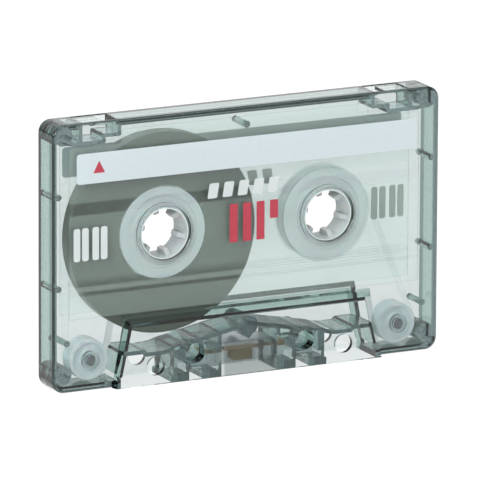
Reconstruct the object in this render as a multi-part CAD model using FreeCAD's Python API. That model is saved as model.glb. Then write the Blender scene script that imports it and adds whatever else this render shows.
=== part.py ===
import FreeCAD, Part
import math
import os
from FreeCAD import Vector

# A compact audio cassette with a clear welded case, tape wound on the left spool.
# Frame: X along the length, -Y towards side one, +Z up, millimetres.
# Origin: middle of the tape edge that the case stands on, half-way through its thickness.

# ---- case envelope
LENGTH = 100.4
HEIGHT = 63.8
CORE_HALF = 4.35          # half thickness of the thin body
RAISED_HALF = 6.0         # half thickness of the thicker section by the tape edge
CORNER_R = 3.0
FACE_WALL = 1.1
SIDE_WALL = 1.2
EDGE_WALL = 1.5           # wall along the tape edge and along the top
FACE_EDGE_R = 0.8
PARTING_GAP = 0.02        # each half stops this far short of the middle plane
INNER_HALF = CORE_HALF - FACE_WALL
RAISED_INNER_HALF = RAISED_HALF - FACE_WALL
SIDE_INNER_X = LENGTH / 2 - SIDE_WALL
TOP_INNER_Z = HEIGHT - EDGE_WALL

# ---- raised section, as half widths and heights
RAISED_BOTTOM_X = 34.6
RAISED_TOP_X = 31.5
RAISED_TOP_Z = 15.2
BEVEL = 1.6               # rise of the slope at its top edge
SIDE_BEVEL = 0.6          # spread of its steep side steps

# ---- spools
HUB_X = 21.25
WINDOW_Z = 35.6
WINDOW_R = 6.4
WINDOW_CHAMFER = 0.15
WINDOW_RING = (7.2, 2.65)  # outer radius of the ridge round each window, and its inner depth
HUB_DROP = 0.2            # a loose hub hangs this far below the window's centre
HUB_Z = WINDOW_Z - HUB_DROP
HUB_BORE_R = 5.85
COLLAR_R = 6.1
COLLAR_HALF = 3.7
HUB_R = 10.95
HUB_HALF = 2.0
GROOVE = (7.3, 9.0, 0.5)  # inner radius, outer radius, depth
TOOTH_COUNT = 6
TOOTH_TIP_R = 4.4
TOOTH_W = 1.1
CLIP_R = 8.9
CLIP_SPAN = 36.0          # degrees
CLIP_GAP = 0.05
TAPE_HALF = 1.9
PACK_R = 24.0
SPLICE_T = 0.12
WRAP_T = 0.55             # turns of clear leader on the empty hub
BURIED_WRAP_T = 0.3       # turns of the other leader, under the tape

# ---- tape path
ROLLER_X = 40.2
ROLLER_Z = 7.0
ROLLER_R = 4.85
ROLLER_HALF = 2.1
ROLLER_PIN_R = 1.2
PIN_FIT = 0.05
LEADER_T = 0.1
LEADER_GAP = 0.1
SPOOL_GAP = 0.3
TAPE_LINE_Z = ROLLER_Z - ROLLER_R

# ---- pressure pad and shield, between the two inner blocks
PAD_HALF_X = 2.6
PAD_HALF_Y = 1.8
PAD_BOTTOM = 2.25
PAD_TOP = 5.0
SPRING_T = 0.15
SPRING_HALF_X = 10.4
SPRING_HALF_Y = 1.7
SHIELD_Z = 7.02
SHIELD_T = 0.35
SHIELD_HALF_X = 7.1
SHIELD_HALF_Y = 2.8

# ---- moulded details, all mirrored left and right
BLOCK_IN_X = 7.2
BLOCK_OUT_X = 19.7
RIB_T = 0.9
BLOCK_SOLID_Y = 2.4       # from this depth to the face the inner blocks are solid
CEILING_T = 1.0
ARM_T = 1.0
GAP_IN_X = 12.2           # small gap in the bottom wall of each block
GAP_OUT_X = 15.6
OPENING_IN_X = 20.3       # roller opening
OPENING_OUT_X = 33.3
CEILING_Z = 8.0
LOCATE_X = 14.3
LOCATE_Z = 6.5
LOCATE_R = 2.4
CAPSTAN_X = 24.5
CAPSTAN_Z = 4.45
CAPSTAN_R = 2.25
POST_R = 2.3
CENTRE_POST_Z = 11.5
POSTS = [(-47.5, 4.1), (47.5, 4.1), (0.0, CENTRE_POST_Z), (-47.2, 61.0), (47.2, 61.0)]
POST_PIN_R = 0.9
GUIDE_PIN = (46.4, 11.6, 0.75)
TOP_PIN = (0.0, 59.3, 0.8)
SIDE_NUBS = [(48.5, 46.6, 0.75), (48.5, 24.8, 0.75)]
NOTCH_IN_X = 33.4         # write-protect notch in the top wall
NOTCH_OUT_X = 42.4
NOTCH_FLOOR_Z = 60.6

# ---- slip sheets and labels
SHEET_Y = 2.45
SHEET_T = 0.15
SHEET_HALF_X = 45.5
SHEET_Z = (17.0, 61.2)
SHEET_HOLE_R = 7.7
RIDGE_Z = [22.7, 24.7]
LABEL_HALF_X = 44.2
LABEL_Z = (49.4, 56.6)
LABEL_T = 0.06

Y_AXIS = Vector(0, 1, 0)


def box(x0, x1, y0, y1, z0, z1):
    return Part.makeBox(x1 - x0, y1 - y0, z1 - z0, Vector(x0, y0, z0))


def rod(x, z, radius, y0, y1):
    return Part.makeCylinder(radius, y1 - y0, Vector(x, y0, z), Y_AXIS)


def ring(x, z, inner, outer, y0, y1):
    return rod(x, z, outer, y0, y1).cut(rod(x, z, inner, y0 - 1, y1 + 1))


def prism(points, y0, y1):
    corners = [Vector(x, y0, z) for x, z in points]
    wire = Part.makePolygon(corners + corners[:1])
    return Part.Face(wire).extrude(Vector(0, y1 - y0, 0))


def fuse_all(shapes):
    result = shapes[0]
    if len(shapes) > 1:
        result = result.multiFuse(shapes[1:])
    return result.removeSplitter()


def mirror_x(shape):
    return shape.mirror(Vector(0, 0, 0), Vector(1, 0, 0))


def mirror_y(shape):
    return shape.mirror(Vector(0, 0, 0), Vector(0, 1, 0))


def both_sides(shapes):
    return shapes + [mirror_x(shape) for shape in shapes]


def rounded_slab(half_x, z0, z1, radius, y0, y1):
    slab = box(-half_x, half_x, y0, y1, z0, z1)
    corners = [edge for edge in slab.Edges if abs(edge.tangentAt(edge.FirstParameter).y) > 0.9]
    return slab.makeFillet(radius, corners)


def wall(points, thickness, y0, y1):
    """A rib of constant thickness along a line of (x, z) points, with round joints."""
    pieces = []
    for (xa, za), (xb, zb) in zip(points, points[1:]):
        run = math.hypot(xb - xa, zb - za)
        nx = -(zb - za) / run * thickness / 2
        nz = (xb - xa) / run * thickness / 2
        corners = [(xa + nx, za + nz), (xb + nx, zb + nz), (xb - nx, zb - nz), (xa - nx, za - nz)]
        pieces.append(prism(corners, y0, y1))
    for x, z in points[1:-1]:
        pieces.append(rod(x, z, thickness / 2, y0, y1))
    return fuse_all(pieces)


def sector(x, z, inner, outer, start, sweep, y0, y1):
    """Part of a ring, from angle start through sweep, in degrees from +X towards +Z."""
    reach = outer * 2
    steps = [math.radians(start + sweep * i / 2) for i in range(3)]
    wedge = [(x, z)] + [(x + reach * math.cos(a), z + reach * math.sin(a)) for a in steps]
    return ring(x, z, inner, outer, y0, y1).common(prism(wedge, y0 - 1, y1 + 1))


def raised_wire(inset, spread, y):
    """Outline of the raised section at depth y, grown by spread at its sides and top."""
    bottom_x = RAISED_BOTTOM_X - inset + spread * SIDE_BEVEL
    top_x = RAISED_TOP_X - inset + spread * SIDE_BEVEL
    top_z = RAISED_TOP_Z - inset + spread * BEVEL
    points = [(-bottom_x, 0), (bottom_x, 0), (top_x, top_z), (-top_x, top_z)]
    corners = [Vector(x, y, z) for x, z in points]
    return Part.makePolygon(corners + corners[:1])


def raised_block(inset, y_low, y_high):
    foot = raised_wire(inset, 1.0, y_low)
    crown = raised_wire(inset, 0.0, y_high)
    return Part.makeLoft([foot, crown], True, True)


def rear_envelope():
    """Outside of the rear half of the case, from the parting plane outwards."""
    core = rounded_slab(LENGTH / 2, 0, HEIGHT, CORNER_R, 0, CORE_HALF)
    rim = [e for e in core.Edges if all(abs(v.Y - CORE_HALF) < 1e-6 for v in e.Vertexes)]
    core = core.makeFillet(FACE_EDGE_R, rim)
    raised = raised_block(0, CORE_HALF - 0.01, RAISED_HALF)
    plinth = prism([(-RAISED_BOTTOM_X, 0), (RAISED_BOTTOM_X, 0), (RAISED_TOP_X, RAISED_TOP_Z),
                    (-RAISED_TOP_X, RAISED_TOP_Z)], 1.0, CORE_HALF + 0.1)
    return fuse_all([core, raised, plinth])


def rear_cavity():
    """Space inside the rear half, with its openings through the tape edge."""
    core = box(-SIDE_INNER_X, SIDE_INNER_X, -1, INNER_HALF, EDGE_WALL, TOP_INNER_Z)
    raised = raised_block(FACE_WALL, INNER_HALF - 0.5, RAISED_INNER_HALF)
    raised = raised.common(box(-50, 50, 0, 10, EDGE_WALL, 30))
    head = box(-BLOCK_IN_X, BLOCK_IN_X, -1, RAISED_INNER_HALF, -1, EDGE_WALL + 1)
    gap = box(GAP_IN_X, GAP_OUT_X, -1, RAISED_INNER_HALF, -1, EDGE_WALL + 1)
    roller = box(OPENING_IN_X, OPENING_OUT_X, -1, RAISED_INNER_HALF, -1, EDGE_WALL + 1)
    notch = box(NOTCH_IN_X, NOTCH_OUT_X, -1, INNER_HALF, NOTCH_FLOOR_Z, HEIGHT + 1)
    return fuse_all([core, raised, head] + both_sides([gap, roller, notch]))


def ribs_one_side():
    """Moulded walls right of the middle, from the parting plane to the face."""
    depth = RAISED_INNER_HALF + 0.1
    arm = wall([(1.5, CENTRE_POST_Z + 0.1), (BLOCK_OUT_X, CEILING_Z)], ARM_T, 0, depth)
    ceiling = wall([(BLOCK_OUT_X - 0.2, CEILING_Z), (21.3, 7.5), (22.9, 7.3), (26.7, 7.3),
                    (27.5, CEILING_Z), (32.5, CEILING_Z)], CEILING_T, 0, depth)
    inner_rib = box(BLOCK_IN_X, BLOCK_IN_X + RIB_T, 0, depth, 0, 10.4)
    outer_rib = box(BLOCK_OUT_X - RIB_T, BLOCK_OUT_X, 0, depth, 0, CEILING_Z)
    end_wall = wall([(32.3, CEILING_Z + 0.2), (33.6, TAPE_LINE_Z + 0.9)], 0.8, 0, depth)
    boss = rod(LOCATE_X, LOCATE_Z, LOCATE_R + RIB_T, 0, depth)
    solid = box(BLOCK_IN_X, BLOCK_OUT_X, BLOCK_SOLID_Y, depth, 0, CEILING_Z)
    solid = solid.cut(box(GAP_IN_X, GAP_OUT_X, -1, RAISED_INNER_HALF, -1, EDGE_WALL + 1))
    shield_ledge = box(BLOCK_IN_X - 0.7, BLOCK_IN_X + 0.1, 1.0, depth, SHIELD_Z - 0.5, SHIELD_Z - 0.02)
    roller_boss = rod(ROLLER_X, ROLLER_Z, 2.2, 2.5, INNER_HALF + 0.1)
    guide = rod(GUIDE_PIN[0], GUIDE_PIN[1], GUIDE_PIN[2], 0, INNER_HALF + 0.1)
    nubs = [rod(x, z, r, 0, INNER_HALF + 0.1) for x, z, r in SIDE_NUBS]
    deep = INNER_HALF + 0.1
    notch_walls = [
        wall([(NOTCH_IN_X - 0.45, TOP_INNER_Z + 0.3), (NOTCH_IN_X - 0.45, NOTCH_FLOOR_Z - 0.3),
              (36.9, NOTCH_FLOOR_Z - 0.3), (36.9, 58.9), (44.6, 58.9), (49.2, 59.9)], RIB_T, 0, deep),
        wall([(NOTCH_OUT_X + 0.45, TOP_INNER_Z + 0.3), (NOTCH_OUT_X + 0.45, 58.9)], RIB_T, 0, deep),
    ]
    tab = box(36.6, 42.0, 0.1, 2.6, 62.8, 63.6)
    tab_neck = box(41.9, NOTCH_OUT_X + 0.2, 1.0, 1.8, 62.8, 63.6)
    return [arm, ceiling, inner_rib, outer_rib, end_wall, boss, solid, shield_ledge, roller_boss,
            guide] + nubs + notch_walls + [tab, tab_neck]


def case_half_common():
    """The rear half before its posts get pins or sockets."""
    envelope = rear_envelope()
    skin = envelope.cut(rear_cavity())
    posts = [rod(x, z, POST_R, 0, RAISED_INNER_HALF + 0.1) for x, z in POSTS]
    drip = prism([(-1.4, CENTRE_POST_Z - 1.5), (1.4, CENTRE_POST_Z - 1.5), (0.0, 8.2)], 0, 5.0)
    top_pin = rod(TOP_PIN[0], TOP_PIN[1], TOP_PIN[2], 0, INNER_HALF + 0.1)
    window_ring = ring(HUB_X, WINDOW_Z, WINDOW_R, WINDOW_RING[0], WINDOW_RING[1], INNER_HALF + 0.1)
    details = ribs_one_side() + [window_ring]
    inside = fuse_all(both_sides(details) + posts + [drip, top_pin]).common(envelope)
    half = skin.fuse(inside).removeSplitter()
    return half.cut(fuse_all(case_cutters()))


def case_cutters():
    """Windows, locating holes, capstan holes and the slots that let tape and spring through."""
    far = RAISED_HALF + 1
    window = rod(HUB_X, WINDOW_Z, WINDOW_R, 1, far)
    flare = WINDOW_R + WINDOW_CHAMFER
    chamfer = Part.makeCone(WINDOW_R, flare, WINDOW_CHAMFER,
                            Vector(HUB_X, CORE_HALF - WINDOW_CHAMFER, WINDOW_Z), Y_AXIS)
    lip = rod(HUB_X, WINDOW_Z, flare, CORE_HALF, far)
    locate = rod(LOCATE_X, LOCATE_Z, LOCATE_R, -1, far)
    capstan = rod(CAPSTAN_X, CAPSTAN_Z, CAPSTAN_R, -1, far)
    pivot = rod(ROLLER_X, ROLLER_Z, ROLLER_PIN_R + PIN_FIT, -1, INNER_HALF)
    slot_top = PAD_TOP + SPRING_T + 0.2
    spring_slot = box(BLOCK_IN_X - 0.1, BLOCK_IN_X + RIB_T + 0.1, -1, 2.0, 1.0, slot_top)
    tape_slot = box(0, 36, -1, 2.3, EDGE_WALL, TAPE_LINE_Z + 0.7)
    return both_sides([window, chamfer, lip, locate, capstan, pivot, spring_slot, tape_slot])


def case_halves():
    joint = box(-LENGTH, LENGTH, -1, PARTING_GAP, -1, HEIGHT + 1)
    common = case_half_common().cut(joint)
    sockets = [rod(x, z, POST_PIN_R + 0.05, -1, 1.7) for x, z in POSTS]
    rear = common.cut(fuse_all(sockets))
    pins = [rod(x, z, POST_PIN_R, -0.5, 1.5) for x, z in POSTS]
    front = mirror_y(common).fuse(pins).removeSplitter()
    return front, rear


def hub(x, clip_angle):
    disc = ring(x, HUB_Z, HUB_BORE_R, HUB_R, -HUB_HALF, HUB_HALF)
    collar = ring(x, HUB_Z, HUB_BORE_R, COLLAR_R, -COLLAR_HALF, COLLAR_HALF)
    body = disc.fuse(collar)
    inner, outer, depth = GROOVE
    for y0, y1 in ((HUB_HALF - depth, HUB_HALF + 1), (-HUB_HALF - 1, -HUB_HALF + depth)):
        body = body.cut(ring(x, HUB_Z, inner, outer, y0, y1))
    teeth = []
    profile = [(TOOTH_TIP_R, -1.7), (TOOTH_TIP_R, 1.7), (HUB_BORE_R + 0.2, 2.7), (HUB_BORE_R + 0.2, -2.7)]
    corners = [Vector(x + r, y, HUB_Z - TOOTH_W / 2) for r, y in profile]
    tooth = Part.Face(Part.makePolygon(corners + corners[:1])).extrude(Vector(0, 0, TOOTH_W))
    for i in range(TOOTH_COUNT):
        turned = tooth.copy()
        turned.rotate(Vector(x, 0, HUB_Z), Y_AXIS, i * 360 / TOOTH_COUNT + 15)
        teeth.append(turned)
    body = fuse_all([body] + teeth)
    notch = sector(x, HUB_Z, CLIP_R, HUB_R + 1, clip_angle, CLIP_SPAN, -HUB_HALF - 1, HUB_HALF + 1)
    return body.cut(notch)


def hub_clip(x, clip_angle):
    margin = math.degrees(CLIP_GAP / CLIP_R)
    start = clip_angle + margin
    return sector(x, HUB_Z, CLIP_R + CLIP_GAP, HUB_R, start, CLIP_SPAN - 2 * margin, -HUB_HALF, HUB_HALF)


def belt_normal(centre_a, radius_a, centre_b, radius_b):
    """Unit normal of the outside tangent from circle a to circle b, run anticlockwise."""
    dx = centre_b[0] - centre_a[0]
    dz = centre_b[1] - centre_a[1]
    angle = math.atan2(dz, dx) - math.acos((radius_a - radius_b) / math.hypot(dx, dz))
    return math.cos(angle), math.sin(angle), math.degrees(angle)


def leader_run():
    """The clear leader from the full spool round both rollers to the empty hub."""
    roller_path = ROLLER_R + LEADER_GAP
    circles = [((-HUB_X, HUB_Z), PACK_R + SPOOL_GAP), ((-ROLLER_X, ROLLER_Z), roller_path),
               ((ROLLER_X, ROLLER_Z), roller_path), ((HUB_X, HUB_Z), HUB_R + WRAP_T + SPOOL_GAP)]
    pieces = []
    headings = []
    for (ca, ra), (cb, rb) in zip(circles, circles[1:]):
        nx, nz, heading = belt_normal(ca, ra, cb, rb)
        headings.append(heading)
        ends = [(ca[0] + r * nx, ca[1] + r * nz) for r in (ra, ra + LEADER_T)]
        ends += [(cb[0] + r * nx, cb[1] + r * nz) for r in (rb + LEADER_T, rb)]
        pieces.append(prism(ends, -TAPE_HALF, TAPE_HALF))
    for (centre, radius), start, end in zip(circles[1:3], headings, headings[1:]):
        sweep = (end - start) % 360
        pieces.append(sector(centre[0], centre[1], radius, radius + LEADER_T, start, sweep,
                             -TAPE_HALF, TAPE_HALF))
    return Part.makeCompound(pieces)


def guide_roller(x):
    body = ring(x, ROLLER_Z, ROLLER_PIN_R + PIN_FIT, ROLLER_R, -ROLLER_HALF, ROLLER_HALF)
    for y0, y1 in ((ROLLER_HALF - 0.5, 5), (-5, -ROLLER_HALF + 0.5)):
        body = body.cut(ring(x, ROLLER_Z, 2.4, 4.0, y0, y1))
    return body


def roller_pin(x):
    return rod(x, ROLLER_Z, ROLLER_PIN_R, -INNER_HALF + 0.05, INNER_HALF - 0.05)


def pad_spring():
    half = SPRING_HALF_X
    strip = box(-half, half, -SPRING_HALF_Y, SPRING_HALF_Y, PAD_TOP, PAD_TOP + SPRING_T)
    hook = box(half - SPRING_T, half, -SPRING_HALF_Y, SPRING_HALF_Y, PAD_TOP, PAD_TOP + 1.2)
    return fuse_all([strip] + both_sides([hook]))


def felt_pad():
    return box(-PAD_HALF_X, PAD_HALF_X, -PAD_HALF_Y, PAD_HALF_Y, PAD_BOTTOM, PAD_TOP)


def shield_plate():
    plate = box(-SHIELD_HALF_X, SHIELD_HALF_X, -SHIELD_HALF_Y, SHIELD_HALF_Y, SHIELD_Z, SHIELD_Z + SHIELD_T)
    return plate


def slip_sheet():
    """The rear slip sheet: a thin sheet with spool holes, cleared round the case's posts."""
    low, high = SHEET_Z
    shoulder_x = NOTCH_IN_X - 1.4
    shoulder_z = 57.9
    outline = [(-SHEET_HALF_X, low), (SHEET_HALF_X, low), (SHEET_HALF_X, shoulder_z),
               (shoulder_x, shoulder_z), (shoulder_x, high), (-shoulder_x, high),
               (-shoulder_x, shoulder_z), (-SHEET_HALF_X, shoulder_z)]
    sheet = prism(outline, SHEET_Y, SHEET_Y + SHEET_T)
    ridges = [box(-43, 43, SHEET_Y - 0.15, SHEET_Y + 0.01, z - 0.25, z + 0.25) for z in RIDGE_Z]
    sheet = fuse_all([sheet] + ridges)
    holes = both_sides([rod(HUB_X, HUB_Z, SHEET_HOLE_R, 0, 5)])
    pin_hole = rod(TOP_PIN[0], TOP_PIN[1], TOP_PIN[2] + 0.2, 0, 5)
    return sheet.cut(fuse_all(holes + [pin_hole]))


def label_strip():
    half = LABEL_HALF_X
    strip = box(-half, half, CORE_HALF, CORE_HALF + LABEL_T, LABEL_Z[0], LABEL_Z[1])
    corners = [edge for edge in strip.Edges if abs(edge.tangentAt(edge.FirstParameter).y) > 0.9]
    return strip.makeFillet(0.8, corners)


def tape_pack():
    return ring(-HUB_X, HUB_Z, HUB_R + BURIED_WRAP_T, PACK_R, -TAPE_HALF, TAPE_HALF)


def splice_tape():
    return sector(-HUB_X, HUB_Z, PACK_R, PACK_R + SPLICE_T, 100, 30, -TAPE_HALF, TAPE_HALF)


def leader_wraps(x, thickness):
    return ring(x, HUB_Z, HUB_R, HUB_R + thickness, -TAPE_HALF, TAPE_HALF)


def build():
    front, rear = case_halves()
    sheet = slip_sheet()
    label = label_strip()
    nodes = {
        "case_front": front,
        "case_rear": rear,
        "slip_sheet_front": mirror_y(sheet),
        "slip_sheet_rear": sheet,
        "label_front": mirror_y(label),
        "label_rear": label,
        "left_hub": hub(-HUB_X, 205),
        "right_hub": hub(HUB_X, 35),
        "left_hub_clip": hub_clip(-HUB_X, 205),
        "right_hub_clip": hub_clip(HUB_X, 35),
        "left_tape_pack": tape_pack(),
        "splice_tape": splice_tape(),
        "left_leader_wraps": leader_wraps(-HUB_X, BURIED_WRAP_T),
        "right_leader_wraps": leader_wraps(HUB_X, WRAP_T),
        "leader_run": leader_run(),
        "left_guide_roller": guide_roller(-ROLLER_X),
        "right_guide_roller": guide_roller(ROLLER_X),
        "left_roller_pin": roller_pin(-ROLLER_X),
        "right_roller_pin": roller_pin(ROLLER_X),
        "pad_spring": pad_spring(),
        "felt_pad": felt_pad(),
        "shield_plate": shield_plate(),
    }
    return nodes


os.makedirs("parts", exist_ok=True)
for name, shape in build().items():
    print(name, "solids", len(shape.Solids), "valid", shape.isValid(), "volume", round(shape.Volume, 2))
    shape.exportStep("parts/" + name + ".step")
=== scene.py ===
import math
import random

import bmesh
import bpy
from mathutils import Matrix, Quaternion, Vector, noise


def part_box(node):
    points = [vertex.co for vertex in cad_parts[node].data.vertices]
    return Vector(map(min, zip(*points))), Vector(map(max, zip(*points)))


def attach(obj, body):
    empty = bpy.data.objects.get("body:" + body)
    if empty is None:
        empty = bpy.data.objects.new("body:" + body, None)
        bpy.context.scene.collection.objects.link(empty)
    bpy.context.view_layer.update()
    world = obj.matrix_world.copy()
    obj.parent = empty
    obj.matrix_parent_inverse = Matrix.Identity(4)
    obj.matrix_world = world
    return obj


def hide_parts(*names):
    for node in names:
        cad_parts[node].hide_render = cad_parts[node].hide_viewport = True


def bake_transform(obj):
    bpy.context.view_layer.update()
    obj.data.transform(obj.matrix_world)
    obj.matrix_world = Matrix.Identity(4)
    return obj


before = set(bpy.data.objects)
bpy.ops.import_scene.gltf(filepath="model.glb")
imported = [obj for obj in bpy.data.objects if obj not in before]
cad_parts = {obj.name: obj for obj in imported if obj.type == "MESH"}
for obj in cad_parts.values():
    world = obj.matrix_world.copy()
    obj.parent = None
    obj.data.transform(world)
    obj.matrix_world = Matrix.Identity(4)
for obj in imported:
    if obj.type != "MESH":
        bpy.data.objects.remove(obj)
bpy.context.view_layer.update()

MM = 0.001
random.seed(7)

# ---------------------------------------------------------------- places read from the frame


def middle(node):
    low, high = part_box(node)
    return (Vector(low) + Vector(high)) / 2


def half_size(node):
    low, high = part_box(node)
    return (Vector(high) - Vector(low)) / 2


LABEL_LOW, LABEL_HIGH = (Vector(corner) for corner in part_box("label_front"))
FACE_Y = LABEL_HIGH.y                     # outside face of the thin body, side one
PACK_CENTRE = middle("left_tape_pack")
PACK_HALF = half_size("left_tape_pack")
PACK_INNER = half_size("left_leader_wraps").x
PAD_CENTRE = middle("felt_pad")
PAD_HALF = half_size("felt_pad")
CASE_HIGH = Vector(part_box("case_front")[1])
CASE_HALF_X = CASE_HIGH.x
CASE_HALF_Y = -FACE_Y                     # half thickness of the thin body
CASE_TOP_Z = CASE_HIGH.z
HUB_OUT_X = middle("right_hub").x
HUB_AXIS_Z = middle("right_hub").z
BORE_R = 5.88 * MM                        # just outside the hubs' bore
WINDOW_AXIS_Z = 35.6 * MM
WINDOW_EDGE_R = 6.6 * MM                  # just outside the windows' chamfer


# ---------------------------------------------------------------- material helpers


class Shader:
    """A new node material with short calls for adding and joining nodes."""

    def __init__(self, name):
        self.material = bpy.data.materials.new(name)
        self.material.use_nodes = True
        self.tree = self.material.node_tree
        self.tree.nodes.clear()
        self.output = self.add("ShaderNodeOutputMaterial")

    def add(self, kind, **values):
        node = self.tree.nodes.new(kind)
        for key, value in values.items():
            if hasattr(node, key):
                setattr(node, key, value)
            else:
                node.inputs[key.replace("_", " ")].default_value = value
        return node

    def join(self, source, target):
        self.tree.links.new(source, target)

    def position(self):
        return self.add("ShaderNodeTexCoord").outputs["Object"]

    def noise(self, scale, detail=3.0, roughness=0.5, stretch=(1, 1, 1)):
        mapping = self.add("ShaderNodeMapping")
        mapping.inputs["Scale"].default_value = stretch
        self.join(self.position(), mapping.inputs["Vector"])
        texture = self.add("ShaderNodeTexNoise")
        texture.inputs["Scale"].default_value = scale
        texture.inputs["Detail"].default_value = detail
        texture.inputs["Roughness"].default_value = roughness
        self.join(mapping.outputs["Vector"], texture.inputs["Vector"])
        return texture.outputs["Fac"]

    def math(self, operation, *terms):
        """A Math node; each term is a socket or a number."""
        node = self.add("ShaderNodeMath", operation=operation)
        for socket, term in zip(node.inputs, terms):
            if hasattr(term, "links"):
                self.join(term, socket)
            else:
                socket.default_value = term
        return node.outputs["Value"]

    def axes(self, vector):
        split = self.add("ShaderNodeSeparateXYZ")
        self.join(vector, split.inputs["Vector"])
        return split.outputs["X"], split.outputs["Y"], split.outputs["Z"]

    def spool_radius(self, axis_z):
        """Distance from the nearer spool's axis."""
        x, _, z = self.axes(self.position())
        across = self.math("SUBTRACT", self.math("ABSOLUTE", x), HUB_OUT_X)
        up = self.math("SUBTRACT", z, axis_z)
        return self.math("SQRT", self.math("ADD", self.math("MULTIPLY", across, across),
                                           self.math("MULTIPLY", up, up)))

    def facing(self):
        """How squarely the surface faces along each axis, 0 to 1."""
        normal = self.add("ShaderNodeNewGeometry").outputs["True Normal"]
        return [self.math("ABSOLUTE", part) for part in self.axes(normal)]

    def blend(self, factor, first, second):
        """A colour that goes from first to second; each is a socket or a colour."""
        node = self.add("ShaderNodeMix", data_type="RGBA")
        self.join(factor, node.inputs["Factor"])
        for socket, color in ((node.inputs[6], first), (node.inputs[7], second)):
            if hasattr(color, "links"):
                self.join(color, socket)
            else:
                socket.default_value = (*color, 1)
        return node.outputs[2]

    def step_up(self, source, start, end):
        """0 below start, 1 above end."""
        node = self.add("ShaderNodeMapRange")
        node.inputs["From Min"].default_value = start
        node.inputs["From Max"].default_value = end
        self.join(source, node.inputs["Value"])
        return node.outputs["Result"]

    def ramp(self, source, low, high, start=0.0, end=1.0):
        ramp = self.add("ShaderNodeValToRGB")
        ramp.color_ramp.elements[0].position = start
        ramp.color_ramp.elements[0].color = (*low, 1)
        ramp.color_ramp.elements[1].position = end
        ramp.color_ramp.elements[1].color = (*high, 1)
        self.join(source, ramp.inputs["Fac"])
        return ramp.outputs["Color"]

    def stepped(self, source, steps):
        """A ramp with any number of (place, colour) stops, in order."""
        ramp = self.add("ShaderNodeValToRGB")
        stops = ramp.color_ramp.elements
        while len(stops) < len(steps):
            stops.new(0.5)
        for stop, (place, color) in zip(stops, steps):
            stop.position = place
            stop.color = (*color, 1)
        self.join(source, ramp.inputs["Fac"])
        return ramp.outputs["Color"]

    def spread(self, source, low, high):
        """Maps a 0 to 1 value on to low to high."""
        node = self.add("ShaderNodeMapRange")
        node.inputs["To Min"].default_value = low
        node.inputs["To Max"].default_value = high
        self.join(source, node.inputs["Value"])
        return node.outputs["Result"]

    def bump(self, source, height, strength=1.0):
        node = self.add("ShaderNodeBump")
        node.inputs["Distance"].default_value = height
        node.inputs["Strength"].default_value = strength
        self.join(source, node.inputs["Height"])
        return node.outputs["Normal"]

    def principled(self, color=(0.8, 0.8, 0.8), roughness=0.4, **sockets):
        node = self.add("ShaderNodeBsdfPrincipled")
        node.inputs["Base Color"].default_value = (*color, 1)
        node.inputs["Roughness"].default_value = roughness
        for key, value in sockets.items():
            node.inputs[key.replace("_", " ")].default_value = value
        return node

    def mixed(self, factor, first, second):
        """Two shaders mixed by a number or a socket."""
        node = self.add("ShaderNodeMixShader")
        if hasattr(factor, "links"):
            self.join(factor, node.inputs["Fac"])
        else:
            node.inputs["Fac"].default_value = factor
        self.join(first, node.inputs[1])
        self.join(second, node.inputs[2])
        return node.outputs["Shader"]

    def finish(self, surface, volume=None):
        self.join(surface, self.output.inputs["Surface"])
        if volume is not None:
            self.join(volume, self.output.inputs["Volume"])
        return self.material


def lets_lamps_through(shader, surface, tint):
    """Shadow rays pass straight through, tinted, so that lamps light what is inside."""
    path = shader.add("ShaderNodeLightPath")
    clear = shader.add("ShaderNodeBsdfTransparent")
    clear.inputs["Color"].default_value = (*tint, 1)
    mix = shader.add("ShaderNodeMixShader")
    shader.join(path.outputs["Is Shadow Ray"], mix.inputs["Fac"])
    shader.join(surface, mix.inputs[1])
    shader.join(clear.outputs["BSDF"], mix.inputs[2])
    return mix.outputs["Shader"]


# ---------------------------------------------------------------- materials


SIDE_PAINTED_SHADE = (0.56, 0.71, 0.66)      # painted shade on surfaces that face along X, and on inner walls
TOP_PAINTED_LIGHT = (0.88, 0.96, 0.94)       # painted light: the top of the case is kept lighter than the sides
SHELF_PAINTED_SHADE = (0.28, 0.42, 0.39)     # painted shade on ribs and ceilings over the openings
FOOT_PAINTED_SHADE = (0.17, 0.26, 0.23)      # painted shade on undersides and the edge it stands on
RIM_PAINTED_SHADE = (0.11, 0.18, 0.16)       # painted shade on the rounded rims all round, and inside the windows
# How far in from the face the painted shade on an outside edge starts, and is full.
SIDE_RIM = (2.6 * MM, 1.7 * MM)
TOP_RIM = (2.3 * MM, 1.9 * MM)
OUTER_SKIN = (1.1 * MM, 1.0 * MM)   # only surfaces this near the outside count as an outside edge
# Heights over which a painted light or shade comes in or goes out.
TOP_ZONE = (50 * MM, 55 * MM)
SHELF_ZONE = (13.0 * MM, 14.0 * MM)
FOOT_ZONE = (2.0 * MM, 3.0 * MM)
LEVEL = (0.5, 0.7)                  # how squarely a surface faces up or down to count as level
FLAT = (0.80, 0.95)                 # the same for the case's faces
CASE_IOR = 1.47
CASE_DEPTH_COLOR = (0.36, 0.47, 0.47)
CASE_DEPTH_DENSITY = 320.0          # per metre
STEP_PAINTED_SHADE = (0.52, 0.68, 0.63)      # painted shade on the slopes and steps of the raised section
FROST_HALF_X = 6.4 * MM             # the walls in front of and behind the pad are frosted
FROST_TOP_Z = 7.6 * MM
FROST_FADE = 0.8 * MM
FROST_DEPTH = 2.5                   # against the ripple of the clear walls
FROST_TINT = (0.50, 0.53, 0.53)


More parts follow.
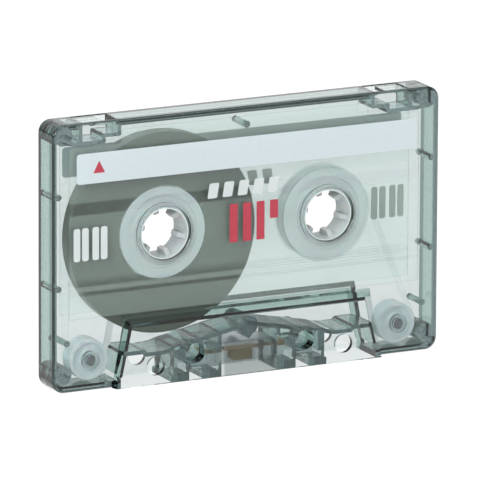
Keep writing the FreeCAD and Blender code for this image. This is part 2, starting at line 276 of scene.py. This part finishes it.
def clear_case_material():
    """Smoke-green clear polystyrene: colour comes from its depth, and from painted shade along its
    sides, edges and undersides, with painted light on its top.
    """
    s = Shader("case_clear_plastic")
    body = s.principled((1, 1, 1), 0.02, IOR=CASE_IOR, Transmission_Weight=1.0)
    _, to_face, to_top = s.facing()
    x, y, z = s.axes(s.position())
    out_x, depth = (s.math("ABSOLUTE", part) for part in (x, y))
    upper = s.step_up(z, *TOP_ZONE)
    lower = s.math("SUBTRACT", 1.0, s.step_up(z, *FOOT_ZONE))
    level = s.step_up(to_top, *LEVEL)
    shelves = s.math("SUBTRACT", 1.0, s.step_up(z, *SHELF_ZONE))
    # Painted light on the level top; the other surfaces keep the painted side shade.
    tint = s.blend(s.math("MULTIPLY", level, upper), SIDE_PAINTED_SHADE, TOP_PAINTED_LIGHT)
    # Painted shade on level ribs and ceilings low over the openings.
    tint = s.blend(s.math("MULTIPLY", level, shelves), tint, SHELF_PAINTED_SHADE)
    # Painted shade on level undersides and along the foot, as a contact shadow.
    tint = s.blend(s.math("MULTIPLY", level, lower), tint, FOOT_PAINTED_SHADE)
    # Painted shade on the walls inside the windows.
    past_window = s.step_up(s.spool_radius(WINDOW_AXIS_Z), WINDOW_EDGE_R, WINDOW_EDGE_R + 0.1 * MM)
    tint = s.blend(past_window, RIM_PAINTED_SHADE, tint)
    # Painted shade along the outside rims of the sides and the top.
    for place, edge, (start, full) in ((out_x, CASE_HALF_X, SIDE_RIM), (z, CASE_TOP_Z, TOP_RIM)):
        outer = s.step_up(place, *(edge - inset for inset in OUTER_SKIN))
        shade = s.step_up(depth, CASE_HALF_Y - start, CASE_HALF_Y - full)
        tint = s.blend(s.math("MULTIPLY", outer, shade), tint, RIM_PAINTED_SHADE)
    # Painted shade on the slopes and steps of the raised section.
    raised = s.step_up(depth, CASE_HALF_Y, CASE_HALF_Y + 0.1 * MM)
    tint = s.blend(raised, tint, STEP_PAINTED_SHADE)
    beside_pad = s.step_up(out_x, FROST_HALF_X, FROST_HALF_X + FROST_FADE)
    above_pad = s.step_up(z, FROST_TOP_Z, FROST_TOP_Z + FROST_FADE)
    frosted = s.math("SUBTRACT", 1.0, s.math("MAXIMUM", beside_pad, above_pad))
    face_tint = s.blend(frosted, (1, 1, 1), FROST_TINT)
    s.join(s.blend(s.step_up(to_face, *FLAT), tint, face_tint), body.inputs["Base Color"])
    ripple = s.noise(90, 2.0, stretch=(1, 1, 1.6))
    grain = s.math("MULTIPLY", s.noise(2200, 2.0), s.math("MULTIPLY", frosted, FROST_DEPTH))
    s.join(s.bump(s.math("ADD", ripple, grain), 0.00002, 0.6), body.inputs["Normal"])
    volume = s.add("ShaderNodeVolumeAbsorption")
    volume.inputs["Color"].default_value = (*CASE_DEPTH_COLOR, 1)
    volume.inputs["Density"].default_value = CASE_DEPTH_DENSITY
    surface = lets_lamps_through(s, body.outputs["BSDF"], (0.92, 0.93, 0.93))
    return s.finish(surface, volume.outputs["Volume"])


def film_material(name, face_tint, side_tint, haze_source, roughness, gloss_at_slant):
    """Thin clear film: mostly see-through, glossy at a slant, a little hazy.

    face_tint colours surfaces that face along Y, and side_tint the others; whichever falls on the film's
    cut edges is darker, as painted shade.
    """
    s = Shader(name)
    _, to_face, _ = s.facing()
    clear = s.add("ShaderNodeBsdfTransparent")
    s.join(s.ramp(to_face, side_tint, face_tint, 0.3, 0.6), clear.inputs["Color"])
    cloud = s.noise(60, 3.0)
    gloss = s.add("ShaderNodeBsdfGlossy")
    gloss.inputs["Color"].default_value = (0.9, 0.93, 0.94, 1)
    s.join(s.spread(cloud, roughness * 0.8, roughness * 1.3), gloss.inputs["Roughness"])
    slant = s.add("ShaderNodeLayerWeight")
    slant.inputs["Blend"].default_value = 0.3
    steep = s.add("ShaderNodeMath", operation="POWER")
    steep.inputs[1].default_value = 3.0
    s.join(slant.outputs["Facing"], steep.inputs[0])
    shiny = s.add("ShaderNodeMixShader")
    s.join(s.spread(steep.outputs["Value"], 0.01, gloss_at_slant), shiny.inputs["Fac"])
    s.join(clear.outputs["BSDF"], shiny.inputs[1])
    s.join(gloss.outputs["BSDF"], shiny.inputs[2])
    fog = s.add("ShaderNodeBsdfDiffuse")
    fog.inputs["Color"].default_value = (0.81, 0.92, 0.82, 1)
    hazy = s.add("ShaderNodeMixShader")
    s.join(haze_source(s), hazy.inputs["Fac"])
    s.join(shiny.outputs["Shader"], hazy.inputs[1])
    s.join(fog.outputs["BSDF"], hazy.inputs[2])
    return s.finish(hazy.outputs["Shader"])


def even_haze(amount):
    def haze(s):
        return s.spread(s.noise(90, 3.0), amount * 0.7, amount * 1.3)
    return haze


# Height in millimetres and haze of the slip sheet's pressed bands, from the tape edge up.
SHEET_BANDS = [(17.0, 0.070), (22.2, 0.080), (22.6, 0.010), (23.2, 0.010), (23.5, 0.105), (24.4, 0.105),
               (24.7, 0.025), (25.4, 0.030), (27.0, 0.080), (41.4, 0.085), (41.9, 0.005), (44.3, 0.005),
               (44.9, 0.074), (61.2, 0.078)]


def banded_haze(s):
    """Haze that follows the slip sheet's pressed bands, by height."""
    low, high = SHEET_BANDS[0][0], SHEET_BANDS[-1][0]
    _, _, z = s.axes(s.position())
    steps = [((height - low) / (high - low), (haze, haze, haze)) for height, haze in SHEET_BANDS]
    return s.stepped(s.step_up(z, low * MM, high * MM), steps)


def ink_material(name, low, high, glow_through, sheer):
    """Screen-printed ink with a little grain; some light glows through it, and some passes straight."""
    s = Shader(name)
    body = s.principled(high, 0.4)
    grain = s.noise(900, 3.0)
    color = s.ramp(grain, low, high)
    s.join(color, body.inputs["Base Color"])
    s.join(s.bump(grain, 0.000008, 0.6), body.inputs["Normal"])
    through = s.add("ShaderNodeBsdfTranslucent")
    s.join(color, through.inputs["Color"])
    clear = s.add("ShaderNodeBsdfTransparent")
    surface = s.mixed(glow_through, body.outputs["BSDF"], through.outputs["BSDF"])
    return s.finish(s.mixed(sheer, surface, clear.outputs["BSDF"]))


def milky_material(name, low, high, glow_through, bore_painted_shade=None):
    """Milky white acetal, as the hubs and rollers are moulded in. A hub's bore gets painted shade,
    darker than the rest.
    """
    s = Shader(name)
    body = s.principled(high, 0.35, Subsurface_Weight=0.25, Subsurface_Scale=0.002)
    cloud = s.noise(220, 4.0)
    color = s.ramp(cloud, low, high, 0.3, 0.7)
    if bore_painted_shade is not None:
        # Painted shade inside the hubs' bores.
        past_bore = s.step_up(s.spool_radius(HUB_AXIS_Z), BORE_R, BORE_R + 0.05 * MM)
        color = s.blend(past_bore, bore_painted_shade, color)
    s.join(color, body.inputs["Base Color"])
    s.join(s.spread(cloud, 0.28, 0.45), body.inputs["Roughness"])
    s.join(s.bump(s.noise(1500, 2.0), 0.00001, 0.5), body.inputs["Normal"])
    through = s.add("ShaderNodeBsdfTranslucent")
    s.join(color, through.inputs["Color"])
    return s.finish(s.mixed(glow_through, body.outputs["BSDF"], through.outputs["BSDF"]))


def tape_pack_material():
    """The edge of wound tape: dark brown with fine rings round the hub."""
    s = Shader("tape_pack_edge")
    shift = s.add("ShaderNodeVectorMath", operation="SUBTRACT")
    shift.inputs[1].default_value = PACK_CENTRE
    s.join(s.position(), shift.inputs[0])
    flat = s.add("ShaderNodeVectorMath", operation="MULTIPLY")
    flat.inputs[1].default_value = (1, 0, 1)
    s.join(shift.outputs["Vector"], flat.inputs[0])
    radius = s.add("ShaderNodeVectorMath", operation="LENGTH")
    s.join(flat.outputs["Vector"], radius.inputs[0])
    rings = s.add("ShaderNodeTexNoise", noise_dimensions="1D")
    rings.inputs["Scale"].default_value = 2600.0
    rings.inputs["Detail"].default_value = 4.0
    s.join(radius.outputs["Value"], rings.inputs["W"])
    bands = s.add("ShaderNodeTexNoise", noise_dimensions="1D")
    bands.inputs["Scale"].default_value = 380.0
    bands.inputs["Detail"].default_value = 2.0
    s.join(radius.outputs["Value"], bands.inputs["W"])
    body = s.principled((0.03, 0.03, 0.02), 0.38)
    s.join(s.ramp(bands.outputs["Fac"], (0.007, 0.019, 0.006), (0.022, 0.044, 0.020), 0.3, 0.7),
           body.inputs["Base Color"])
    s.join(s.spread(bands.outputs["Fac"], 0.3, 0.5), body.inputs["Roughness"])
    s.join(s.bump(rings.outputs["Fac"], 0.00002, 0.5), body.inputs["Normal"])
    return s.finish(body.outputs["BSDF"])


def metal_material(name, low, high, roughness, stretch):
    s = Shader(name)
    body = s.principled(high, roughness, Metallic=1.0)
    brush = s.noise(1400, 4.0, stretch=stretch)
    s.join(s.ramp(brush, low, high), body.inputs["Base Color"])
    s.join(s.spread(brush, roughness * 0.7, roughness * 1.4), body.inputs["Roughness"])
    s.join(s.bump(brush, 0.000006, 0.5), body.inputs["Normal"])
    return s.finish(body.outputs["BSDF"])


def felt_material():
    s = Shader("pad_felt_brown")
    body = s.principled((0.4, 0.3, 0.13), 0.95, Sheen_Weight=0.3)
    fibres = s.noise(2500, 5.0, 0.7, stretch=(1, 1, 2.2))
    s.join(s.ramp(fibres, (0.16, 0.11, 0.04), (0.5, 0.38, 0.18), 0.3, 0.72), body.inputs["Base Color"])
    s.join(s.bump(fibres, 0.00012, 0.8), body.inputs["Normal"])
    return s.finish(body.outputs["BSDF"])


FLOOR_BRIGHT_R = 0.9
FLOOR_DIM_R = 2.2
FLOOR_GLOW = (0.88, 0.25)                 # brightness inside the first radius, and past the second
FLOOR_GAP = 0.05 * MM                     # keeps the floor off the clear plastic that stands on it


def floor_material():
    """White sweep, bright enough that the cassette seems to stand on plain white."""
    s = Shader("floor_white")
    body = s.principled((0.12, 0.12, 0.12), 0.9)
    grain = s.noise(30, 2.0)
    s.join(s.ramp(grain, (0.11, 0.11, 0.11), (0.13, 0.13, 0.13)), body.inputs["Base Color"])
    body.inputs["Specular IOR Level"].default_value = 0.1
    place = s.add("ShaderNodeVectorMath", operation="LENGTH")
    s.join(s.position(), place.inputs[0])
    glow = s.add("ShaderNodeMapRange")
    glow.inputs["From Min"].default_value = FLOOR_BRIGHT_R
    glow.inputs["From Max"].default_value = FLOOR_DIM_R
    glow.inputs["To Min"].default_value, glow.inputs["To Max"].default_value = FLOOR_GLOW
    s.join(place.outputs["Value"], glow.inputs["Value"])
    s.join(glow.outputs["Result"], body.inputs["Emission Strength"])
    body.inputs["Emission Color"].default_value = (1, 1, 1, 1)
    return s.finish(body.outputs["BSDF"])


# ---------------------------------------------------------------- mesh helpers


def finish_mesh(name, mesh_builder, material, body="case"):
    """Turns a bmesh into a named piece that rides on a CAD body."""
    mesh = bpy.data.meshes.new(name)
    bmesh.ops.recalc_face_normals(mesh_builder, faces=mesh_builder.faces)
    mesh_builder.to_mesh(mesh)
    mesh_builder.free()
    mesh.materials.append(material)
    piece = bpy.data.objects.new(name, mesh)
    bpy.context.collection.objects.link(piece)
    if body is not None:
        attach(piece, body)
    return piece


def rounded_outline(points, radius, steps=4):
    """A closed outline with every corner rounded by an arc-like curve."""
    outline = []
    count = len(points)
    for i in range(count):
        before, here, after = (Vector(points[(i + k) % count]) for k in (-1, 0, 1))
        reach = min(radius, (before - here).length * 0.49, (after - here).length * 0.49)
        start = here + (before - here).normalized() * reach
        end = here + (after - here).normalized() * reach
        for k in range(steps + 1):
            t = k / steps
            outline.append(start * (1 - t) ** 2 + here * 2 * t * (1 - t) + end * t ** 2)
    return outline


def add_slab(builder, outline, y_near, y_far):
    """Adds a closed flat slab with the outline in X and Z, between two depths."""
    near = [builder.verts.new((p.x, y_near, p.y)) for p in outline]
    far = [builder.verts.new((p.x, y_far, p.y)) for p in outline]
    builder.faces.new(near)
    builder.faces.new(list(reversed(far)))
    for i in range(len(outline)):
        k = (i + 1) % len(outline)
        builder.faces.new((near[k], near[i], far[i], far[k]))


# ---------------------------------------------------------------- wound tape and felt pad

PACK_SPOKES = 160
TURN_PITCH = 0.17 * MM
TURN_UNEVENNESS = 0.03 * MM


def tape_pack():
    """Wound tape turned as one ring, each band of turns standing a little proud or shy of the next."""
    turns = round((PACK_HALF.x - PACK_INNER) / TURN_PITCH)
    radii = [PACK_INNER + (PACK_HALF.x - PACK_INNER) * i / turns for i in range(turns + 1)]
    drift = 0.0
    depths = []
    for _ in radii:
        drift = 0.85 * drift + random.uniform(-1, 1) * 0.5
        depths.append(PACK_HALF.y - TURN_UNEVENNESS * (1.2 + max(-1.0, min(1.0, drift))))
    profile = [(r, -y) for r, y in zip(radii, depths)]
    profile += [(r, y) for r, y in zip(reversed(radii), reversed(depths))]
    builder = bmesh.new()
    loops = []
    for k in range(PACK_SPOKES):
        angle = 2 * math.pi * k / PACK_SPOKES
        x, z = math.cos(angle), math.sin(angle)
        loops.append([builder.verts.new(PACK_CENTRE + Vector((r * x, y, r * z))) for r, y in profile])
    count = len(profile)
    for k in range(PACK_SPOKES):
        this, following = loops[k], loops[(k + 1) % PACK_SPOKES]
        for i in range(count):
            j = (i + 1) % count
            builder.faces.new((this[i], this[j], following[j], following[i]))
    piece = finish_mesh("wound_tape", builder, tape_pack_material(), "left_spool")
    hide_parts("left_tape_pack")


FELT_EDGE = 0.35 * MM
FELT_CUTS = 23
FELT_SHRINK = 0.09                        # millimetres kept free for the lumps
FELT_LUMPS = ((1.9, 0.06), (6.5, 0.05))   # lumps per millimetre, and their height in millimetres


def felt_pad():
    """A cut block of felt: soft edges, a fuzzy skin and a face worn smooth where tape runs."""
    builder = bmesh.new()
    bmesh.ops.create_cube(builder, size=2.0)
    bmesh.ops.subdivide_edges(builder, edges=builder.edges, cuts=FELT_CUTS, use_grid_fill=True)
    for vert in builder.verts:
        unit = vert.co.copy()
        place = Vector((unit.x * PAD_HALF.x, unit.y * PAD_HALF.y, unit.z * PAD_HALF.z))
        core = Vector(tuple(max(-h + FELT_EDGE, min(h - FELT_EDGE, c)) for c, h in zip(place, PAD_HALF)))
        outward = place - core
        if outward.length > 0:
            place = core + outward.normalized() * FELT_EDGE
        away = outward.normalized() if outward.length > 0 else unit.normalized()
        worn = 0.3 if unit.z < -0.9 else 1.0
        lump = sum(noise.noise(place / MM * pitch) * height for pitch, height in FELT_LUMPS)
        vert.co = PAD_CENTRE + place + away * (lump * worn - FELT_SHRINK) * MM
    piece = finish_mesh("felt_block", builder, felt_material(), "pressure_pad")
    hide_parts("felt_pad")


LEAF_T = 0.15 * MM
LEAF_BEND_R = 0.5 * MM
# The leaf follows the pad inside the first of these, and the case beyond the second.
LEAF_WAIST = (3.4 * MM, 4.4 * MM, 7.8 * MM, 8.8 * MM)
LEAF_WAIST_CUT = 0.3 * MM


def leaf_path(half_x, low_z, top_z):
    """Middle line of one half of the leaf in X and Z: out from the pad, then up round the hook."""
    points = [(half_x * 0.9 * i / 30, low_z) for i in range(31)]
    centre_x, centre_z = half_x - LEAF_BEND_R, low_z + LEAF_BEND_R
    for i in range(7):
        turn = math.radians(15 * i)
        points.append((centre_x + LEAF_BEND_R * math.sin(turn), centre_z - LEAF_BEND_R * math.cos(turn)))
    return points + [(half_x, top_z - 0.15 * MM), (half_x, top_z)]


def leaf_half_width(x, full):
    """The leaf is a little narrower between the pad and the hook."""
    rise_start, rise_end, fall_start, fall_end = LEAF_WAIST
    narrowing = min(max((x - rise_start) / (rise_end - rise_start), 0), 1)
    widening = min(max((x - fall_start) / (fall_end - fall_start), 0), 1)
    return full - LEAF_WAIST_CUT * (narrowing - widening)


def pad_spring():
    """The bronze leaf behind the pad, in two halves."""
    low, high = (Vector(corner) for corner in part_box("pad_spring"))
    material = metal_material("spring_bronze", (0.5, 0.33, 0.16), (0.75, 0.55, 0.3), 0.3, (1, 8, 1))
    path = leaf_path(high.x - LEAF_T / 2, low.z + LEAF_T / 2, high.z)
    for side, turn in (("left", -1), ("right", 1)):
        builder = bmesh.new()
        rows = []
        for i, (x, z) in enumerate(path):
            x0, z0 = path[max(i - 1, 0)]
            x1, z1 = path[min(i + 1, len(path) - 1)]
            across = Vector((-(z1 - z0), 0, x1 - x0)).normalized() * LEAF_T / 2
            width = leaf_half_width(x, high.y)
            row = []
            for y, lift in ((-width, -1), (width, -1), (width, 1), (-width, 1)):
                place = Vector((x, y, z)) + across * lift
                row.append(builder.verts.new((place.x * turn, place.y, place.z)))
            rows.append(row)
        for this, following in zip(rows, rows[1:]):
            for k in range(4):
                j = (k + 1) % 4
                builder.faces.new((this[k], this[j], following[j], following[k]))
        builder.faces.new(rows[0])
        builder.faces.new(rows[-1])
        piece = finish_mesh(side + "_spring_leaf", builder, material, None)
        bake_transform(piece)
        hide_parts("pad_spring")


PIN_SPOKES = 32
PIN_DOME = 0.35 * MM                      # rounding of each end


def roller_pins():
    """Short turned pins with softly domed, darker ends."""
    material = metal_material("pin_steel", (0.10, 0.11, 0.12), (0.22, 0.23, 0.24), 0.35, (1, 6, 1))
    for side in ("left", "right"):
        centre, half = middle(side + "_roller_pin"), half_size(side + "_roller_pin")
        radius, reach = half.x, half.y
        profile = [(0.0, -reach)]
        for k in range(5):
            turn = math.radians(22.5 * k)
            profile.append((radius - PIN_DOME * (1 - math.sin(turn)),
                            -reach + PIN_DOME * (1 - math.cos(turn))))
        profile += [(r, -y) for r, y in reversed(profile)]
        builder = bmesh.new()
        for k in range(PIN_SPOKES):
            angle = 2 * math.pi * k / PIN_SPOKES
            following = 2 * math.pi * (k + 1) / PIN_SPOKES
            for (r0, y0), (r1, y1) in zip(profile, profile[1:]):
                corners = [(r0, y0, angle), (r1, y1, angle), (r1, y1, following), (r0, y0, following)]
                places = [centre + Vector((r * math.cos(a), y, r * math.sin(a))) for r, y, a in corners]
                builder.faces.new([builder.verts.new(place) for place in places])
        bmesh.ops.remove_doubles(builder, verts=builder.verts, dist=0.001 * MM)
        bmesh.ops.dissolve_degenerate(builder, edges=builder.edges, dist=0.001 * MM)
        for face in builder.faces:
            face.smooth = True
        piece = finish_mesh(side + "_turned_pin", builder, material, "case")
        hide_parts(side + "_roller_pin")


# ---------------------------------------------------------------- printed marks

INK_T = 0.03 * MM


def bar(x, z, width, height, lean=0.0):
    """Corners of an upright bar, leaning by lean at its top. Millimetres."""
    return [(x, z), (x + width, z), (x + width + lean, z + height), (x + lean, z + height)]


def mark_shapes():
    """Plain marks in place of lettering: outlines in millimetres, corner radius, ink."""
    tally = [bar(-45.0 + 2.15 * i + 0.5 * (i // 2), 31.1, 1.7, 7.9) for i in range(4)]
    dashes = [bar(-10.6 + 3.9 * i, 42.7, 2.5, 3.6, 0.6) for i in range(5)]
    columns = [bar(-4.8 + 3.5 * i, 31.6, 2.1, 9.2) for i in range(3)] + [bar(5.7, 36.4, 2.1, 4.4)]
    pointer = [[(-40.0, 51.8), (-37.0, 51.8), (-38.5, 54.7)]]
    return {
        "tally_mark": (tally, 0.7, "white"),
        "dash_mark": (dashes, 0.4, "white"),
        "column_mark": (columns, 0.25, "red"),
        "side_pointer": (pointer, 0.15, "red"),
    }


def printed_marks(inks):
    """Side one's marks, and side two's, which are the same turned half round about Z."""
    for name, (shapes, radius, ink) in mark_shapes().items():
        for side, turn in (("one", 1), ("two", -1)):
            builder = bmesh.new()
            lift = 0.0 if name != "side_pointer" else LABEL_HIGH.y - LABEL_LOW.y
            for shape in shapes:
                corners = [Vector((x * MM * turn, z * MM)) for x, z in shape]
                outline = rounded_outline(corners, radius * MM)
                y_near = turn * (FACE_Y - lift - INK_T)
                y_far = turn * (FACE_Y - lift)
                add_slab(builder, outline, y_near, y_far)
            finish_mesh(name + "_side_" + side, builder, inks[ink])


# ---------------------------------------------------------------- build

inks = {
    "white": ink_material("ink_white", (0.82, 0.87, 0.87), (0.91, 0.95, 0.95), 0.38, 0.18),
    "red": ink_material("ink_red", (0.36, 0.03, 0.05), (0.50, 0.05, 0.08), 0.1, 0.05),
}
printed_marks(inks)
tape_pack()
felt_pad()
pad_spring()
roller_pins()

case_plastic = clear_case_material()
CLEAR_TINT = (0.975, 0.985, 0.985)
# Painted shade on the slip sheet's cut edges.
SHEET_EDGE_PAINTED_SHADE = (0.22, 0.28, 0.28)
# Lighter painted shade on the leader film's cut edges.
WRAP_EDGE_PAINTED_SHADE = (0.82, 0.87, 0.87)
slip_film = film_material("slip_sheet_film", CLEAR_TINT, SHEET_EDGE_PAINTED_SHADE, banded_haze, 0.12, 0.25)
leader_film = film_material("leader_clear_film", WRAP_EDGE_PAINTED_SHADE, CLEAR_TINT, even_haze(0.012),
                            0.08, 0.12)
label_ink = ink_material("label_white_ink", (0.71, 0.80, 0.83), (0.78, 0.87, 0.90), 0.3, 0.13)
# The hubs' bores get a painted shade.
hub_acetal = milky_material("hub_acetal", (0.91, 0.93, 0.94), (0.97, 0.98, 0.99), 0.3,
                            bore_painted_shade=(0.52, 0.56, 0.56))
roller_acetal = milky_material("roller_acetal", (0.64, 0.70, 0.71), (0.76, 0.82, 0.83), 0.1)
NODE_MATERIALS = {
    "case_front": case_plastic,
    "case_rear": case_plastic,
    "slip_sheet_front": slip_film,
    "slip_sheet_rear": slip_film,
    "label_front": label_ink,
    "label_rear": label_ink,
    "left_hub": hub_acetal,
    "right_hub": hub_acetal,
    "left_hub_clip": hub_acetal,
    "right_hub_clip": hub_acetal,
    "left_guide_roller": roller_acetal,
    "right_guide_roller": roller_acetal,
    "splice_tape": ink_material("splice_film", (0.10, 0.12, 0.11), (0.16, 0.18, 0.17), 0.2, 0.3),
    "left_leader_wraps": leader_film,
    "right_leader_wraps": leader_film,
    "leader_run": leader_film,
    "shield_plate": metal_material("shield_steel", (0.4, 0.4, 0.43), (0.6, 0.6, 0.64), 0.35, (6, 1, 1)),
}


def dress_nodes():
    for name, material in NODE_MATERIALS.items():
        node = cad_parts[name]
        for slot in node.material_slots:
            slot.material = material


dress_nodes()

# ---------------------------------------------------------------- floor, light and camera


def make_floor():
    builder = bmesh.new()
    half = 4.0
    corners = [(-half, -half), (half, -half), (half, half), (-half, half)]
    builder.faces.new([builder.verts.new((x, y, -FLOOR_GAP)) for x, y in corners])
    mesh = bpy.data.meshes.new("floor")
    builder.to_mesh(mesh)
    builder.free()
    mesh.materials.append(floor_material())
    floor = bpy.data.objects.new("floor", mesh)
    bpy.context.collection.objects.link(floor)


def area_light(name, location, target, size, power):
    light = bpy.data.lights.new(name, "AREA")
    light.shape = "RECTANGLE"
    light.size, light.size_y = size
    light.energy = power
    lamp = bpy.data.objects.new(name, light)
    lamp.location = location
    lamp.rotation_euler = (Vector(target) - Vector(location)).to_track_quat("-Z", "Y").to_euler()
    bpy.context.collection.objects.link(lamp)


def make_light():
    world = bpy.data.worlds.new("studio")
    world.use_nodes = True
    tree = world.node_tree
    background = tree.nodes["Background"]
    direction = tree.nodes.new("ShaderNodeTexCoord")
    split = tree.nodes.new("ShaderNodeSeparateXYZ")
    ramp = tree.nodes.new("ShaderNodeValToRGB")
    ramp.color_ramp.elements[0].position = 0.05
    ramp.color_ramp.elements[0].color = (0.42, 0.44, 0.44, 1)
    ramp.color_ramp.elements[1].position = 0.4
    ramp.color_ramp.elements[1].color = (0.95, 0.95, 0.95, 1)
    tree.links.new(direction.outputs["Generated"], split.inputs["Vector"])
    tree.links.new(split.outputs["Z"], ramp.inputs["Fac"])
    tree.links.new(ramp.outputs["Color"], background.inputs["Color"])
    bpy.context.scene.world = world
    aim = (0, 0, 0.03)
    area_light("softbox_top", (-0.1, -0.1, 0.9), aim, (0.9, 0.9), 7.0)
    area_light("softbox_left", (-0.8, -0.5, 0.5), aim, (0.5, 0.6), 8.0)
    area_light("softbox_low_back", (0.48, 0.96, 0.33), aim, (0.5, 0.25), 0.2)


CAMERA_YAW = math.radians(26.47)
CAMERA_PITCH = math.radians(13.81)
CAMERA_ROLL = math.radians(0.27)
CAMERA_DISTANCE = 1.957
CAMERA_TARGET = Vector((-0.08, -0.35, 30.87)) * MM
CAMERA_LENS = 627.6


def make_camera():
    data = bpy.data.cameras.new("camera")
    data.lens = CAMERA_LENS
    data.sensor_width = 36.0
    data.clip_start = 0.1
    data.clip_end = 50.0
    camera = bpy.data.objects.new("camera", data)
    level = math.cos(CAMERA_PITCH)
    forward = Vector((math.sin(CAMERA_YAW) * level, math.cos(CAMERA_YAW) * level,
                      -math.sin(CAMERA_PITCH)))
    camera.location = CAMERA_TARGET - forward * CAMERA_DISTANCE
    level_view = forward.to_track_quat("-Z", "Y")
    camera.rotation_euler = (level_view @ Quaternion((0, 0, 1), CAMERA_ROLL)).to_euler()
    bpy.context.collection.objects.link(camera)
    bpy.context.scene.camera = camera


make_floor()
make_light()
make_camera()
bpy.context.scene.view_settings.view_transform = "Standard"
